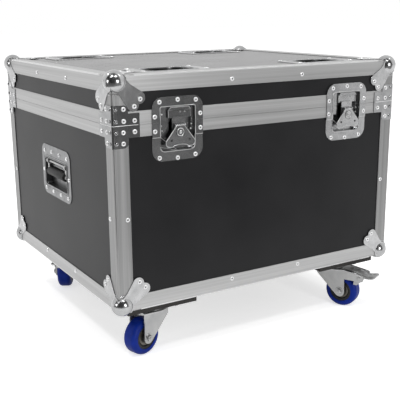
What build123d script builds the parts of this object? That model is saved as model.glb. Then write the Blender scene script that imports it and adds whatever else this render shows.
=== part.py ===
from build123d import *
import os

# A wheeled flight case for lighting: a plywood box in aluminium angle, with a lift-off lid
# The origin is on the ground under the middle of the case, +X to the right along the front, +Y to the back

# Case
case_width = 672
case_depth = 594
base_height = 353
lid_height = 90
board_thickness = 15
castor_height = 102
overrun = 5

# Edge angle, panels and the rim extrusions that meet at the lid joint
angle_leg = 31
angle_thickness = 1.5
edge_radius = 3
mitre_gap = 0.2
corner_crop = 8
panel_thickness = 9
rim_inner_lip = 1.2
groove_rim_height = 22
tongue_rim_height = 25
rim_slot_depth = 10
tongue_thickness = 2.4
tongue_drop = 5
tongue_side_clearance = 0.4
groove_relief = 1
lid_gap = 0.3

# Ball corners
ball_radius = 21
ball_inset = 12
ball_collar_radius = 18.5
ball_waist_inset = 28.3
ball_waist_radius = 14.5
lobe_near = 41.4
lobe_far = 54.1
lobe_radius = 11.5
ball_plate_thickness = 1.3

# Corner braces beside the lid joint
brace_arm = 53.5
brace_leg = 31
brace_thickness = 1.2
brace_arm_height = 22
lid_brace_height = 37
base_brace_height = 40
brace_tab_radius = 10

# Latch dishes, in heights above the lid joint
latch_inset = 132
latch_width = 107.5
latch_top = 46.5
latch_bottom = -72.5
latch_corner_radius = 22
latch_opening_width = 73
latch_opening_top = 28
latch_opening_bottom = -54
latch_opening_radius = 3
latch_foot_radius = 9
latch_pan_depth = 12
latch_step_level = -27
dish_thickness = 1.2
pocket_clearance = 1
latch_channel_width = 53
latch_ledge_depth = 5
latch_ledge_bottom = -18
latch_slot_side = 9
latch_slot_width = 8.5
latch_slot_bottom = -19
latch_slot_height = 17.5

# Latch mechanism, its hub beside the middle of the dish
latch_offset = 4
hub_level = -20
spindle_radius = 3.5
spindle_end_gap = 0.3
eccentric_radius = 5
eccentric_throw = 3
eccentric_clearance = 0.9
eccentric_side_room = 1.3
hook_thickness = 2
hook_width = 28
hook_depth = 3.2
hook_top = 8
hook_tail = 12
hook_gap = 0.2
hub_radius = 11
hub_disc_gap = 0.4
hub_disc_front = 0.9
boss_radius = 8.3
boss_front = 3.8
ear_thickness = 2
ear_radius = 2
ear_rise = 13.5
wing_pin_radius = 1
wing_pin_clearance = 0.05
wing_barrel_radius = 1.3
wing_thickness = 1.8
wing_front = 3.4
wing_half_top = 9
wing_shoulder_gap = 0.5
wing_side_gap = 0.3
wing_ring_clearance = 1
wing_lobe_radius = 7.5
wing_lobe_side = 23.5
wing_lobe_drop = 19.5
wing_hole_radius = 2.2
wing_hole_side = 19
wing_hole_drop = 14.5
wing_scallop_width = 32
wing_scallop_height = 4
keeper_width = 47
keeper_shift = 2.5
keeper_chamfer = 5
keeper_bottom = 6
keeper_height = 20
keeper_hook_gap = 0.4
keeper_lip_height = 6

# Recessed carrying handles
handle_level_share = 0.617
handle_width = 163
handle_height = 110
handle_corner_radius = 20
handle_opening_width = 124
handle_opening_height = 60
handle_opening_drop = 4
handle_opening_radius = 5
handle_pan_depth = 16.2
handle_pin_radius = 3
handle_pin_clearance = 0.05
handle_pin_depth = 5
handle_pin_drop = 7
handle_pin_end_gap = 0.1
bail_eye_radius = 6
bail_arm_width = 8
bail_arm_thickness = 5
bail_arm_room = 12
bail_bar_radius = 4
bail_reach = 22
grip_radius = 9
grip_bore_clearance = 0.1
grip_end_gap = 0.5

# Castor dishes let into the lid
stack_dish_width = 156
stack_dish_depth = 88
stack_dish_radius = 20
stack_dish_end_inset = 154
stack_dish_side_inset = 79
stack_cup_width = 110
stack_cup_depth = 70
stack_cup_sink = 10

# Boards under the base and the castors below them, in heights down from the castor plate's top
board_width = 152
board_side_inset = 25
board_end_inset = 15
board_relief = 1.6
board_relief_clearance = 0.5
castor_end_inset = 100
castor_side_inset = 65
castor_trail = 30
wheel_radius = 37.5
tyre_width = 32
tyre_shoulder = 9
tyre_seat_gap = 0.05
rim_radius = 25
rim_width = 29
rim_dish_radius = 20
rim_dish_width = 19
rim_hub_radius = 10
rim_hub_width = 38
axle_radius = 4
axle_clearance = 0.05
axle_head_radius = 7
axle_head_height = 5
plate_length = 100
plate_width = 85
plate_thickness = 3
plate_corner_radius = 6
bolt_spacing_length = 80
bolt_spacing_width = 60
bolt_head_radius = 6.5
bolt_head_height = 5
race_top_radius = 24
race_radius = 28
race_height = 8
race_gap = 0.3
kingpin_radius = 6
kingpin_clearance = 0.05
kingpin_head_radius = 10
kingpin_head_height = 3
crown_radius = 34
crown_thickness = 3
fork_gap = 40
fork_cheek_thickness = 2.5
fork_end_radius = 12
fork_back_reach = 26
fork_front_reach = 40
fork_shoulder = 16
brake_leaf_reach = 56
brake_leaf_width = 28
brake_arm_reach = 86
brake_arm_end_drop = 18
brake_arm_bottom_drop = 33
brake_arm_end_radius = 5
brake_pivot_reach = 76
brake_pivot_drop = 25
brake_pin_radius = 3
brake_pin_clearance = 0.05
pedal_thickness = 2.5
pedal_width = 39
pedal_tip_width = 45
pedal_inner_reach = 58
pedal_inner_drop = 12.5
pedal_bend_reach = 90
pedal_bend_drop = 22
pedal_tip_reach = 110
pedal_tip_drop = 19.5
pedal_tip_radius = 8
pedal_cheek_gap = 1
pedal_cheek_radius = 7
pad_reach = 62.5
pad_drop = 36
pad_height = 7
pad_depth = 8

# Heading of each castor's trail in degrees from +X
heading_degrees = {"front_right": -64, "front_left": -162, "back_left": -120, "back_right": -110}

# Levels and faces that follow from the sizes above
case_bottom = castor_height + board_thickness
split_level = case_bottom + base_height
case_top = split_level + lid_height
half_width = case_width / 2
half_depth = case_depth / 2
latch_x = half_width - latch_inset
stack_dish_x = half_width - stack_dish_end_inset
stack_dish_y = half_depth - stack_dish_side_inset
board_inner_x = half_width - board_side_inset - board_width
castor_x = half_width - castor_end_inset
castor_y = half_depth - castor_side_inset
panel_half_width = half_width - angle_thickness
panel_half_depth = half_depth - angle_thickness
inner_half_width = panel_half_width - panel_thickness
inner_half_depth = panel_half_depth - panel_thickness
rim_depth = angle_thickness + panel_thickness + rim_inner_lip
base_wall_top = split_level - groove_rim_height + rim_slot_depth
lid_wall_bottom = split_level + tongue_rim_height - rim_slot_depth
base_floor_bottom = case_bottom + angle_thickness
lid_roof_top = case_top - angle_thickness

os.makedirs("parts", exist_ok=True)


def mitre_plane(corner, along, across):
    """The plane that halves the corner between two edges, a hairline to this edge's own side."""
    normal = (Vector(*along) - Vector(*across)).normalized()
    return Plane(origin=Vector(*corner) + normal * (mitre_gap / 2), z_dir=normal)


def edge_angle(start, end, leg_a, leg_b, start_across, end_across):
    """One length of rounded angle from start to end, mitred where it meets its neighbours."""
    along = (Vector(*end) - Vector(*start)).normalized()
    length = (Vector(*end) - Vector(*start)).length
    first_leg, second_leg = Vector(*leg_a), Vector(*leg_b)
    if along.cross(first_leg).dot(second_leg) < 0:
        first_leg, second_leg = second_leg, first_leg
    with BuildPart() as angle:
        with BuildSketch(Plane(origin=start, x_dir=first_leg, z_dir=along)) as section:
            Rectangle(angle_leg, angle_leg, align=(Align.MIN, Align.MIN))
            with Locations((angle_thickness, angle_thickness)):
                Rectangle(angle_leg, angle_leg, align=(Align.MIN, Align.MIN), mode=Mode.SUBTRACT)
            fillet(section.vertices().group_by(Axis.X)[0].sort_by(Axis.Y)[0], radius=edge_radius)
        extrude(amount=length)
        for across in start_across:
            split(bisect_by=mitre_plane(start, along, across), keep=Keep.TOP)
        for across in end_across:
            split(bisect_by=mitre_plane(end, -along, across), keep=Keep.TOP)
    return angle.part


def face_ring(level, up):
    """The four angles round the bottom or the top of the case; up points into the case."""
    upward = (0, 0, up)
    angles = []
    for side in (-1, 1):
        y, x = side * half_depth, side * half_width
        inward_y, inward_x = (0, -side, 0), (-side, 0, 0)
        angles.append(edge_angle((-half_width, y, level), (half_width, y, level), inward_y, upward,
                                 (inward_y, upward), (inward_y, upward)))
        angles.append(edge_angle((x, -half_depth, level), (x, half_depth, level), inward_x, upward,
                                 (inward_x, upward), (inward_x, upward)))
    return angles


def corner_posts(mitred_level, square_level):
    """The four upright angles, mitred at the case corner and cut square at the rim."""
    up = (0, 0, 1 if square_level > mitred_level else -1)
    posts = []
    for side_x in (-1, 1):
        for side_y in (-1, 1):
            x, y = side_x * half_width, side_y * half_depth
            leg_x, leg_y = (-side_x, 0, 0), (0, -side_y, 0)
            posts.append(edge_angle((x, y, mitred_level), (x, y, square_level), leg_x, leg_y,
                                    (leg_x, leg_y), ()))
    return posts


def crop_corners(level):
    """Takes the sharp tips off the four corners at one level, where the balls sit."""
    with Locations((-half_width, -half_depth, level), (half_width, -half_depth, level),
                   (-half_width, half_depth, level), (half_width, half_depth, level)):
        Box(2 * corner_crop, 2 * corner_crop, 2 * corner_crop, mode=Mode.SUBTRACT)


def cut_latch_pockets():
    """The holes through the front and back walls and rims that take the four latch dishes."""
    pocket_width = latch_opening_width + 2 * (dish_thickness + pocket_clearance)
    pocket_top = latch_opening_top + dish_thickness + pocket_clearance
    pocket_bottom = latch_opening_bottom - dish_thickness - pocket_clearance
    middle = split_level + (pocket_top + pocket_bottom) / 2
    for side_x in (-1, 1):
        for side_y in (-1, 1):
            with Locations((side_x * latch_x, side_y * half_depth, middle)):
                Box(pocket_width, 2 * (rim_depth + overrun), pocket_top - pocket_bottom,
                    mode=Mode.SUBTRACT)


def rim_lengths(section_bottom, section_top, slot_low, slot_high, bead_low, bead_high, bead_in, bead_out,
                bead_mode):
    """Four mitred lengths of rim extrusion: a panel slot on one edge, a groove or tongue on the other."""
    lengths = []
    for inward, reach, span in (((0, 1, 0), half_depth, case_width), ((0, -1, 0), half_depth, case_width),
                                ((1, 0, 0), half_width, case_depth), ((-1, 0, 0), half_width, case_depth)):
        facing = Vector(*inward)
        along = facing.cross(Vector(0, 0, 1))
        start = facing * -reach - along * (span / 2) + Vector(0, 0, split_level)
        end = start + along * span
        with BuildPart() as length:
            with BuildSketch(Plane(origin=start, x_dir=facing, z_dir=along)):
                with Locations((0, section_bottom)):
                    Rectangle(rim_depth, section_top - section_bottom, align=(Align.MIN, Align.MIN))
                with Locations((angle_thickness, slot_low)):
                    Rectangle(panel_thickness, slot_high - slot_low, align=(Align.MIN, Align.MIN),
                              mode=Mode.SUBTRACT)
                with Locations((bead_in, bead_low)):
                    Rectangle(bead_out - bead_in, bead_high - bead_low, align=(Align.MIN, Align.MIN),
                              mode=bead_mode)
            extrude(amount=span)
            split(bisect_by=mitre_plane(start, along, facing), keep=Keep.TOP)
            split(bisect_by=mitre_plane(end, -along, facing), keep=Keep.TOP)
            with BuildSketch(Plane.XY):
                RectangleRounded(case_width, case_depth, edge_radius)
            extrude(amount=case_top, mode=Mode.INTERSECT)
            cut_latch_pockets()
        lengths.append(length.part)
    return lengths


# Base panels: laminated plywood, the front and back over the ends, the floor between all four
with BuildPart() as base_front_panel:
    with Locations((0, -panel_half_depth, base_floor_bottom)):
        Box(2 * panel_half_width, panel_thickness, base_wall_top - base_floor_bottom,
            align=(Align.CENTER, Align.MIN, Align.MIN))
    crop_corners(case_bottom)
    cut_latch_pockets()
base_front_panel.part.label = "base_front_panel"
export_step(base_front_panel.part, "parts/base_front_panel.step")

with BuildPart() as base_back_panel:
    add(base_front_panel.part.mirror(Plane.XZ))
base_back_panel.part.label = "base_back_panel"
export_step(base_back_panel.part, "parts/base_back_panel.step")

handle_pocket_width = handle_opening_width + 2 * (dish_thickness + pocket_clearance)
handle_pocket_height = handle_opening_height + 2 * (dish_thickness + pocket_clearance)
handle_middle = case_bottom + base_height * handle_level_share
handle_opening_middle = -handle_opening_drop

with BuildPart() as base_end_panels:
    with Locations((-panel_half_width, 0, base_floor_bottom)):
        Box(panel_thickness, 2 * inner_half_depth, base_wall_top - base_floor_bottom,
            align=(Align.MIN, Align.CENTER, Align.MIN))
    with Locations((-panel_half_width, 0, handle_middle + handle_opening_middle)):
        Box(2 * (panel_thickness + overrun), handle_pocket_width, handle_pocket_height, mode=Mode.SUBTRACT)
    mirror(about=Plane.YZ)
base_end_panels.part.label = "base_end_panels"
export_step(base_end_panels.part, "parts/base_end_panels.step")

with BuildPart() as base_floor_panel:
    with Locations((0, 0, base_floor_bottom)):
        Box(2 * inner_half_width, 2 * inner_half_depth, panel_thickness,
            align=(Align.CENTER, Align.CENTER, Align.MIN))
base_floor_panel.part.label = "base_floor_panel"
export_step(base_floor_panel.part, "parts/base_floor_panel.step")

# Base metalwork: angle on the bottom edges and the uprights, and the grooved rim
with BuildPart() as bottom_edge_angles:
    for piece in face_ring(case_bottom, 1):
        add(piece)
    crop_corners(case_bottom)
bottom_edge_angles.part.label = "bottom_edge_angles"
export_step(bottom_edge_angles.part, "parts/bottom_edge_angles.step")

with BuildPart() as base_corner_posts:
    for piece in corner_posts(case_bottom, split_level - groove_rim_height):
        add(piece)
    crop_corners(case_bottom)
base_corner_posts.part.label = "base_corner_posts"
export_step(base_corner_posts.part, "parts/base_corner_posts.step")

rim_middle = angle_thickness + panel_thickness / 2
tongue_in = rim_middle - tongue_thickness / 2
tongue_out = rim_middle + tongue_thickness / 2

with BuildPart() as base_groove_rims:
    for piece in rim_lengths(-groove_rim_height, 0, -groove_rim_height, rim_slot_depth - groove_rim_height,
                             -tongue_drop - groove_relief, 0, tongue_in - tongue_side_clearance,
                             tongue_out + tongue_side_clearance, Mode.SUBTRACT):
        add(piece)
base_groove_rims.part.label = "base_groove_rims"
export_step(base_groove_rims.part, "parts/base_groove_rims.step")

# Lid panels and metalwork, the same way, with a tongue under the rim
with BuildPart() as lid_wall_panels:
    with Locations((0, -panel_half_depth, lid_wall_bottom)):
        Box(2 * panel_half_width, panel_thickness, lid_roof_top - lid_wall_bottom,
            align=(Align.CENTER, Align.MIN, Align.MIN))
    mirror(about=Plane.XZ)
    crop_corners(case_top)
    cut_latch_pockets()
    with Locations((-panel_half_width, 0, lid_wall_bottom), (inner_half_width, 0, lid_wall_bottom)):
        Box(panel_thickness, 2 * (inner_half_depth - mitre_gap), lid_roof_top - lid_wall_bottom,
            align=(Align.MIN, Align.CENTER, Align.MIN))
lid_wall_panels.part.label = "lid_wall_panels"
export_step(lid_wall_panels.part, "parts/lid_wall_panels.step")

with BuildPart() as lid_top_panel:
    with Locations((0, 0, lid_roof_top)):
        Box(2 * inner_half_width, 2 * inner_half_depth, panel_thickness,
            align=(Align.CENTER, Align.CENTER, Align.MAX))
    with BuildSketch(Plane.XY.offset(lid_roof_top + overrun)):
        with GridLocations(2 * stack_dish_x, 2 * stack_dish_y, 2, 2):
            SlotOverall(stack_cup_width + 2 * (dish_thickness + pocket_clearance),
                        stack_cup_depth + 2 * (dish_thickness + pocket_clearance))
    extrude(amount=-(panel_thickness + 2 * overrun), mode=Mode.SUBTRACT)
lid_top_panel.part.label = "lid_top_panel"
export_step(lid_top_panel.part, "parts/lid_top_panel.step")

with BuildPart() as lid_edge_angles:
    for piece in face_ring(case_top, -1):
        add(piece)
    crop_corners(case_top)
lid_edge_angles.part.label = "lid_edge_angles"
export_step(lid_edge_angles.part, "parts/lid_edge_angles.step")

with BuildPart() as lid_corner_posts:
    for piece in corner_posts(case_top, split_level + tongue_rim_height):
        add(piece)
    crop_corners(case_top)
lid_corner_posts.part.label = "lid_corner_posts"
export_step(lid_corner_posts.part, "parts/lid_corner_posts.step")

with BuildPart() as lid_tongue_rims:
    for piece in rim_lengths(lid_gap, tongue_rim_height, tongue_rim_height - rim_slot_depth,
                             tongue_rim_height, -tongue_drop, lid_gap, tongue_in, tongue_out, Mode.ADD):
        add(piece)
lid_tongue_rims.part.label = "lid_tongue_rims"
export_step(lid_tongue_rims.part, "parts/lid_tongue_rims.step")

# Ball corners: a pressed ball over the case corner, with a two-lobed plate down each face
with BuildSketch() as ball_strip:
    with Locations((ball_inset, ball_inset), (ball_waist_inset, ball_waist_inset)):
        Circle(ball_waist_radius)
    make_hull()
    with Locations((ball_inset, ball_inset)):
        Circle(ball_collar_radius)
    with Locations((-ball_plate_thickness, -ball_plate_thickness)):
        Rectangle(case_width, case_width, align=(Align.MIN, Align.MIN), mode=Mode.INTERSECT)
        Rectangle(ball_inset + ball_plate_thickness, ball_inset + ball_plate_thickness,
                  align=(Align.MIN, Align.MIN), mode=Mode.SUBTRACT)

ball_lobes = []
for lobe in ((lobe_near, lobe_far), (lobe_far, lobe_near)):
    with BuildSketch() as ball_lobe:
        with Locations((ball_waist_inset, ball_waist_inset)):
            Circle(ball_waist_radius)
        with Locations(lobe):
            Circle(lobe_radius)
        make_hull()
    ball_lobes.append(ball_lobe.sketch)

with BuildPart() as ball_corner:
    with Locations((ball_inset, ball_inset, ball_inset)):
        Sphere(ball_radius)
    for keep_out in ((corner_crop, 0, 0), (0, corner_crop, 0), (0, 0, corner_crop)):
        with Locations(keep_out):
            Box(case_width, case_width, case_width, align=(Align.MIN, Align.MIN, Align.MIN),
                mode=Mode.SUBTRACT)
    for face in (Plane.XY, Plane.YZ, Plane.ZX):
        with BuildSketch(face):
            add(ball_strip.sketch)
            add(ball_lobes)
        extrude(amount=-ball_plate_thickness)

with BuildPart() as base_ball_corners:
    with Locations((-half_width, -half_depth, case_bottom)):
        add(ball_corner.part)
    mirror(about=Plane.YZ)
    mirror(about=Plane.XZ)
base_ball_corners.part.label = "base_ball_corners"
export_step(base_ball_corners.part, "parts/base_ball_corners.step")

with BuildPart() as lid_ball_corners:
    with Locations(Location((-half_width, half_depth, case_top), (180, 0, 0))):
        add(ball_corner.part)
    mirror(about=Plane.YZ)
    mirror(about=Plane.XZ)
lid_ball_corners.part.label = "lid_ball_corners"
export_step(lid_ball_corners.part, "parts/lid_ball_corners.step")


def corner_braces(low, arm_low, arm_high, high):
    """Four plates bent round the upright edges, their arms along the rim and one rounded leg each."""
    with BuildPart() as braces:
        with BuildSketch(Plane.XY.offset(low)) as wrap:
            with Locations((-half_width - brace_thickness, -half_depth - brace_thickness)):
                Rectangle(brace_arm + brace_thickness, brace_arm + brace_thickness,
                          align=(Align.MIN, Align.MIN))
            fillet(wrap.vertices().group_by(Axis.X)[0].sort_by(Axis.Y)[0],
                   radius=edge_radius + brace_thickness)
            RectangleRounded(case_width, case_depth, edge_radius, mode=Mode.SUBTRACT)
        extrude(amount=high - low)
        for gap_low, gap_high in ((low, arm_low), (arm_high, high)):
            if gap_high > gap_low:
                with Locations((-half_width + brace_leg, -half_depth - overrun, gap_low),
                               (-half_width - overrun, -half_depth + brace_leg, gap_low)):
                    Box(brace_arm, brace_arm, gap_high - gap_low,
                        align=(Align.MIN, Align.MIN, Align.MIN), mode=Mode.SUBTRACT)
        tip = low if arm_low > low else high
        tab_edges = braces.edges().filter_by(
            lambda edge: edge.length < 2 * brace_thickness and abs(edge.center().Z - tip) < edge_radius)
        fillet(tab_edges.filter_by(Plane.XY), radius=brace_tab_radius)
    return braces


lid_brace_low = split_level + lid_gap
lid_brace = corner_braces(lid_brace_low, lid_brace_low, split_level + brace_arm_height,
                          split_level + lid_brace_height)
base_brace = corner_braces(split_level - base_brace_height, split_level - brace_arm_height,
                           split_level, split_level)

with BuildPart() as lid_corner_braces:
    add(lid_brace.part)
    mirror(about=Plane.YZ)
    mirror(about=Plane.XZ)
lid_corner_braces.part.label = "lid_corner_braces"
export_step(lid_corner_braces.part, "parts/lid_corner_braces.step")

with BuildPart() as base_corner_braces:
    add(base_brace.part)
    mirror(about=Plane.YZ)
    mirror(about=Plane.XZ)
base_corner_braces.part.label = "base_corner_braces"
export_step(base_corner_braces.part, "parts/base_corner_braces.step")

# Castor boards: two plywood runners under the base, relieved over the ball corners' lower plates
with BuildPart() as castor_boards:
    with Locations((-board_inner_x, 0, case_bottom)):
        Box(board_width, case_depth - 2 * board_end_inset, board_thickness,
            align=(Align.MAX, Align.CENTER, Align.MAX))
    with BuildSketch(Plane.XY.offset(case_bottom)):
        with Locations((-half_width + ball_inset, -half_depth + ball_inset)):
            Circle(ball_collar_radius + board_relief_clearance)
        with Locations((-half_width + ball_waist_inset, -half_depth + ball_waist_inset)):
            Circle(ball_waist_radius + board_relief_clearance)
        with Locations((-half_width + lobe_near, -half_depth + lobe_far),
                       (-half_width + lobe_far, -half_depth + lobe_near)):
            Circle(lobe_radius + board_relief_clearance)
        make_hull()
        mirror(about=Plane.XZ)
    extrude(amount=-board_relief, mode=Mode.SUBTRACT)
    with Locations((-half_width + ball_inset, 0, case_bottom + ball_inset)):
        with GridLocations(0, 2 * (half_depth - ball_inset), 1, 2):
            Sphere(ball_radius + board_relief_clearance, mode=Mode.SUBTRACT)
    mirror(about=Plane.YZ)
castor_boards.part.label = "castor_boards"
export_step(castor_boards.part, "parts/castor_boards.step")

# Latch dishes: a pressed plate with a deep pan, cut in two along the lid joint
flange_middle = (latch_top + latch_bottom) / 2
flange_height = latch_top - latch_bottom
opening_middle = (latch_opening_top + latch_opening_bottom) / 2
opening_height = latch_opening_top - latch_opening_bottom
pan_floor = latch_pan_depth - dish_thickness


def latch_flange(low, high):
    """The part of the dish's rounded outline between two heights above the lid joint."""
    with Locations((0, flange_middle)):
        RectangleRounded(latch_width, flange_height, latch_corner_radius)
    with Locations((0, (low + high) / 2)):
        Rectangle(latch_width, high - low, mode=Mode.INTERSECT)


def pan_outline(skin):
    """The pan's outline grown by a skin: small corners at the top, large ones at the foot."""
    with BuildSketch() as outline:
        with Locations((0, opening_middle)):
            Rectangle(latch_opening_width + 2 * skin, opening_height + 2 * skin)
        fillet(outline.vertices().group_by(Axis.Y)[-1], radius=latch_opening_radius + skin)
        fillet(outline.vertices().sort_by(Axis.Y)[0:2], radius=latch_foot_radius + skin)
    return outline.sketch


def channel_outline(skin):
    """The deep part of the pan: the whole foot, and the channel between the ledges above it."""
    with BuildSketch() as outline:
        add(pan_outline(skin))
        for side, ledge_align in ((-1, Align.MAX), (1, Align.MIN)):
            with Locations((latch_offset + side * (latch_channel_width / 2 + skin),
                            latch_ledge_bottom + skin)):
                Rectangle(latch_width, flange_height, align=(ledge_align, Align.MIN), mode=Mode.SUBTRACT)
    return outline.sketch


with BuildPart() as latch_dish:
    with BuildSketch(Plane.XZ):
        latch_flange(latch_step_level, latch_top)
    extrude(amount=dish_thickness)
    with BuildSketch(Plane.XZ.offset(-angle_thickness)):
        latch_flange(latch_bottom, latch_step_level)
    extrude(amount=dish_thickness)
    with BuildSketch(Plane.XZ.offset(-angle_thickness)):
        latch_flange(latch_step_level, latch_step_level + dish_thickness)
    extrude(amount=angle_thickness + dish_thickness)
    for skin, front, mode in ((dish_thickness, 0, Mode.ADD), (0, dish_thickness, Mode.SUBTRACT)):
        for outline, floor in ((pan_outline(skin), latch_ledge_depth), (channel_outline(skin), pan_floor)):
            with BuildSketch(Plane.XZ.offset(front)):
                add(outline)
            extrude(amount=-(front + floor + skin), mode=mode)
    for side in (-1, 1):
        with BuildSketch(Plane.XZ.offset(-latch_ledge_depth)):
            with Locations((latch_offset + side * (latch_slot_side + latch_slot_width / 2),
                            latch_slot_bottom)):
                Rectangle(latch_slot_width, latch_slot_height, align=(Align.CENTER, Align.MIN))
        extrude(amount=-latch_pan_depth, mode=Mode.SUBTRACT)

with BuildPart() as base_dish:
    add(latch_dish.part)
    split(bisect_by=Plane.XY, keep=Keep.BOTTOM)

with BuildPart() as lid_dish:
    add(latch_dish.part)
    split(bisect_by=Plane.XY.offset(lid_gap), keep=Keep.TOP)

latch_places = {
    "front_left": Location((-latch_x, -half_depth, split_level)),
    "front_right": Location((latch_x, -half_depth, split_level)),
    "back_left": Location((-latch_x, half_depth, split_level), (0, 0, 180)),
    "back_right": Location((latch_x, half_depth, split_level), (0, 0, 180)),
}

with BuildPart() as latch_dishes_base:
    with Locations(*latch_places.values()):
        add(base_dish.part)
latch_dishes_base.part.label = "latch_dishes_base"
export_step(latch_dishes_base.part, "parts/latch_dishes_base.step")

with BuildPart() as latch_dishes_lid:
    with Locations(*latch_places.values()):
        add(lid_dish.part)
latch_dishes_lid.part.label = "latch_dishes_lid"
export_step(latch_dishes_lid.part, "parts/latch_dishes_lid.step")

# Keepers: a block on the lid dish's floor, behind the hook, with a lip over it
keeper_front = hook_depth + hook_thickness + keeper_hook_gap

with BuildPart() as keeper:
    with Locations((latch_offset + keeper_shift, pan_floor, keeper_bottom)):
        Box(keeper_width, pan_floor - keeper_front, keeper_height,
            align=(Align.CENTER, Align.MAX, Align.MIN))
    with Locations((latch_offset + keeper_shift, pan_floor, keeper_bottom + keeper_height)):
        Box(keeper_width, pan_floor - hook_depth, keeper_lip_height,
            align=(Align.CENTER, Align.MAX, Align.MAX))
    keeper_sides = keeper.edges().filter_by(Axis.Y).group_by(Axis.Z)[-1]
    chamfer(keeper_sides, length=keeper_chamfer)

with BuildPart() as latch_keepers:
    with Locations(*latch_places.values()):
        add(keeper.part)
latch_keepers.part.label = "latch_keepers"
export_step(latch_keepers.part, "parts/latch_keepers.step")

# Hook plates: slotted for the eccentric, which lifts them as it turns
slot_height = 2 * (eccentric_radius + eccentric_clearance)
slot_width = 2 * (eccentric_radius + eccentric_throw + eccentric_side_room)

with BuildPart() as hook_plate:
    with BuildSketch(Plane.XZ.offset(-hook_depth - hook_thickness)) as hook_outline:
        with Locations((latch_offset, hub_level - hook_tail)):
            Rectangle(hook_width, hook_top - hub_level + hook_tail, align=(Align.CENTER, Align.MIN))
        fillet(hook_outline.vertices(), radius=hook_thickness)
        with Locations((latch_offset, hub_level - eccentric_throw)):
            SlotOverall(slot_width, slot_height, mode=Mode.SUBTRACT)
    extrude(amount=hook_thickness)

# Cams: spindle, eccentric, hub disc with two ears, and the boss that shows through the wing
ear_level = hub_level + ear_rise
ear_inner = wing_half_top + wing_side_gap
hub_back = hook_depth - hub_disc_gap
ear_depth = (wing_front + wing_front - wing_thickness) / 2

with BuildPart() as cam:
    with BuildSketch(Plane.XZ.offset(-hub_back)):
        with Locations((latch_offset, hub_level)):
            Circle(hub_radius)
            Rectangle(2 * (ear_inner + ear_thickness), ear_rise + ear_radius,
                      align=(Align.CENTER, Align.MIN))
    extrude(amount=hub_back + hub_disc_front)
    with BuildSketch(Plane.XZ.offset(hub_disc_front)):
        with Locations((latch_offset, hub_level)):
            Circle(boss_radius)
    extrude(amount=boss_front - hub_disc_front)
    with BuildSketch(Plane.XZ.offset(-hub_back)):
        with Locations((latch_offset, hub_level - eccentric_throw)):
            Circle(eccentric_radius)
    extrude(amount=-(hook_thickness + hub_disc_gap + hook_gap))
    with BuildSketch(Plane.XZ.offset(-hub_back - hook_thickness - hub_disc_gap - hook_gap)):
        with Locations((latch_offset, hub_level)):
            Circle(spindle_radius)
    extrude(amount=-(pan_floor - spindle_end_gap - hub_back - hook_thickness - hub_disc_gap - hook_gap))
    for side in (-1, 1):
        with BuildSketch(Plane.YZ.offset(latch_offset + side * (ear_inner + ear_thickness / 2))):
            with Locations((-ear_depth, ear_level)):
                Circle(ear_radius)
            with Locations((-hub_disc_front, ear_level)):
                Rectangle(ear_depth, 2 * ear_radius, align=(Align.MAX, Align.CENTER))
            with Locations((-ear_depth, ear_level)):
                Circle(wing_pin_radius + wing_pin_clearance, mode=Mode.SUBTRACT)
        extrude(amount=ear_thickness / 2, both=True)

# Butterfly wings: a two-lobed plate with a ring round the boss, on a pin between the ears
with BuildPart() as wing:
    with BuildSketch(Plane.XZ.offset(wing_front - wing_thickness)):
        with Locations((latch_offset, ear_level - ear_radius - wing_shoulder_gap)):
            Rectangle(2 * wing_half_top, wing_thickness, align=(Align.CENTER, Align.MAX))
        with Locations((latch_offset - wing_lobe_side, hub_level - wing_lobe_drop),
                       (latch_offset + wing_lobe_side, hub_level - wing_lobe_drop)):
            Circle(wing_lobe_radius)
        make_hull()
        with Locations((latch_offset, ear_level)):
            Rectangle(2 * wing_half_top, 2 * ear_radius, align=(Align.CENTER, Align.MAX))
        with Locations((latch_offset, hub_level - wing_lobe_drop - wing_lobe_radius)):
            Ellipse(wing_scallop_width / 2, wing_scallop_height, mode=Mode.SUBTRACT)
        with Locations((latch_offset, hub_level)):
            Circle(boss_radius + wing_ring_clearance, mode=Mode.SUBTRACT)
        with Locations((latch_offset - wing_hole_side, hub_level - wing_hole_drop),
                       (latch_offset + wing_hole_side, hub_level - wing_hole_drop)):
            Circle(wing_hole_radius, mode=Mode.SUBTRACT)
    extrude(amount=wing_thickness)
    with BuildSketch(Plane.YZ.offset(latch_offset)):
        with Locations((-ear_depth, ear_level)):
            Circle(wing_barrel_radius)
    extrude(amount=wing_half_top, both=True)
    with BuildSketch(Plane.YZ.offset(latch_offset)):
        with Locations((-ear_depth, ear_level)):
            Circle(wing_pin_radius)
    extrude(amount=ear_inner + ear_thickness, both=True)

for where, place in latch_places.items():
    for kind, shape in (("hook", hook_plate), ("cam", cam), ("wing", wing)):
        with BuildPart() as latch_piece:
            with Locations(place):
                add(shape.part)
        latch_piece.part.label = f"latch_{kind}_{where}"
        export_step(latch_piece.part, f"parts/latch_{kind}_{where}.step")

# Recessed handles: a pressed dish, a hinge pin across its top, a steel bail and a rubber grip
handle_pan_floor = handle_pan_depth - dish_thickness
handle_opening_top = handle_opening_middle + handle_opening_height / 2
pin_level = handle_opening_top - handle_pin_drop

with BuildPart() as handle_dish:
    with BuildSketch(Plane.XZ.offset(-angle_thickness)):
        RectangleRounded(handle_width, handle_height, handle_corner_radius)
    extrude(amount=dish_thickness)
    with BuildSketch(Plane.XZ.offset(-angle_thickness)):
        with Locations((0, handle_opening_middle)):
            RectangleRounded(handle_opening_width + 2 * dish_thickness,
                             handle_opening_height + 2 * dish_thickness,
                             handle_opening_radius + dish_thickness)
    extrude(amount=-(handle_pan_depth - angle_thickness))
    with BuildSketch(Plane.XZ.offset(dish_thickness)):
        with Locations((0, handle_opening_middle)):
            RectangleRounded(handle_opening_width, handle_opening_height, handle_opening_radius)
    extrude(amount=-(dish_thickness + handle_pan_floor), mode=Mode.SUBTRACT)

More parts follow.
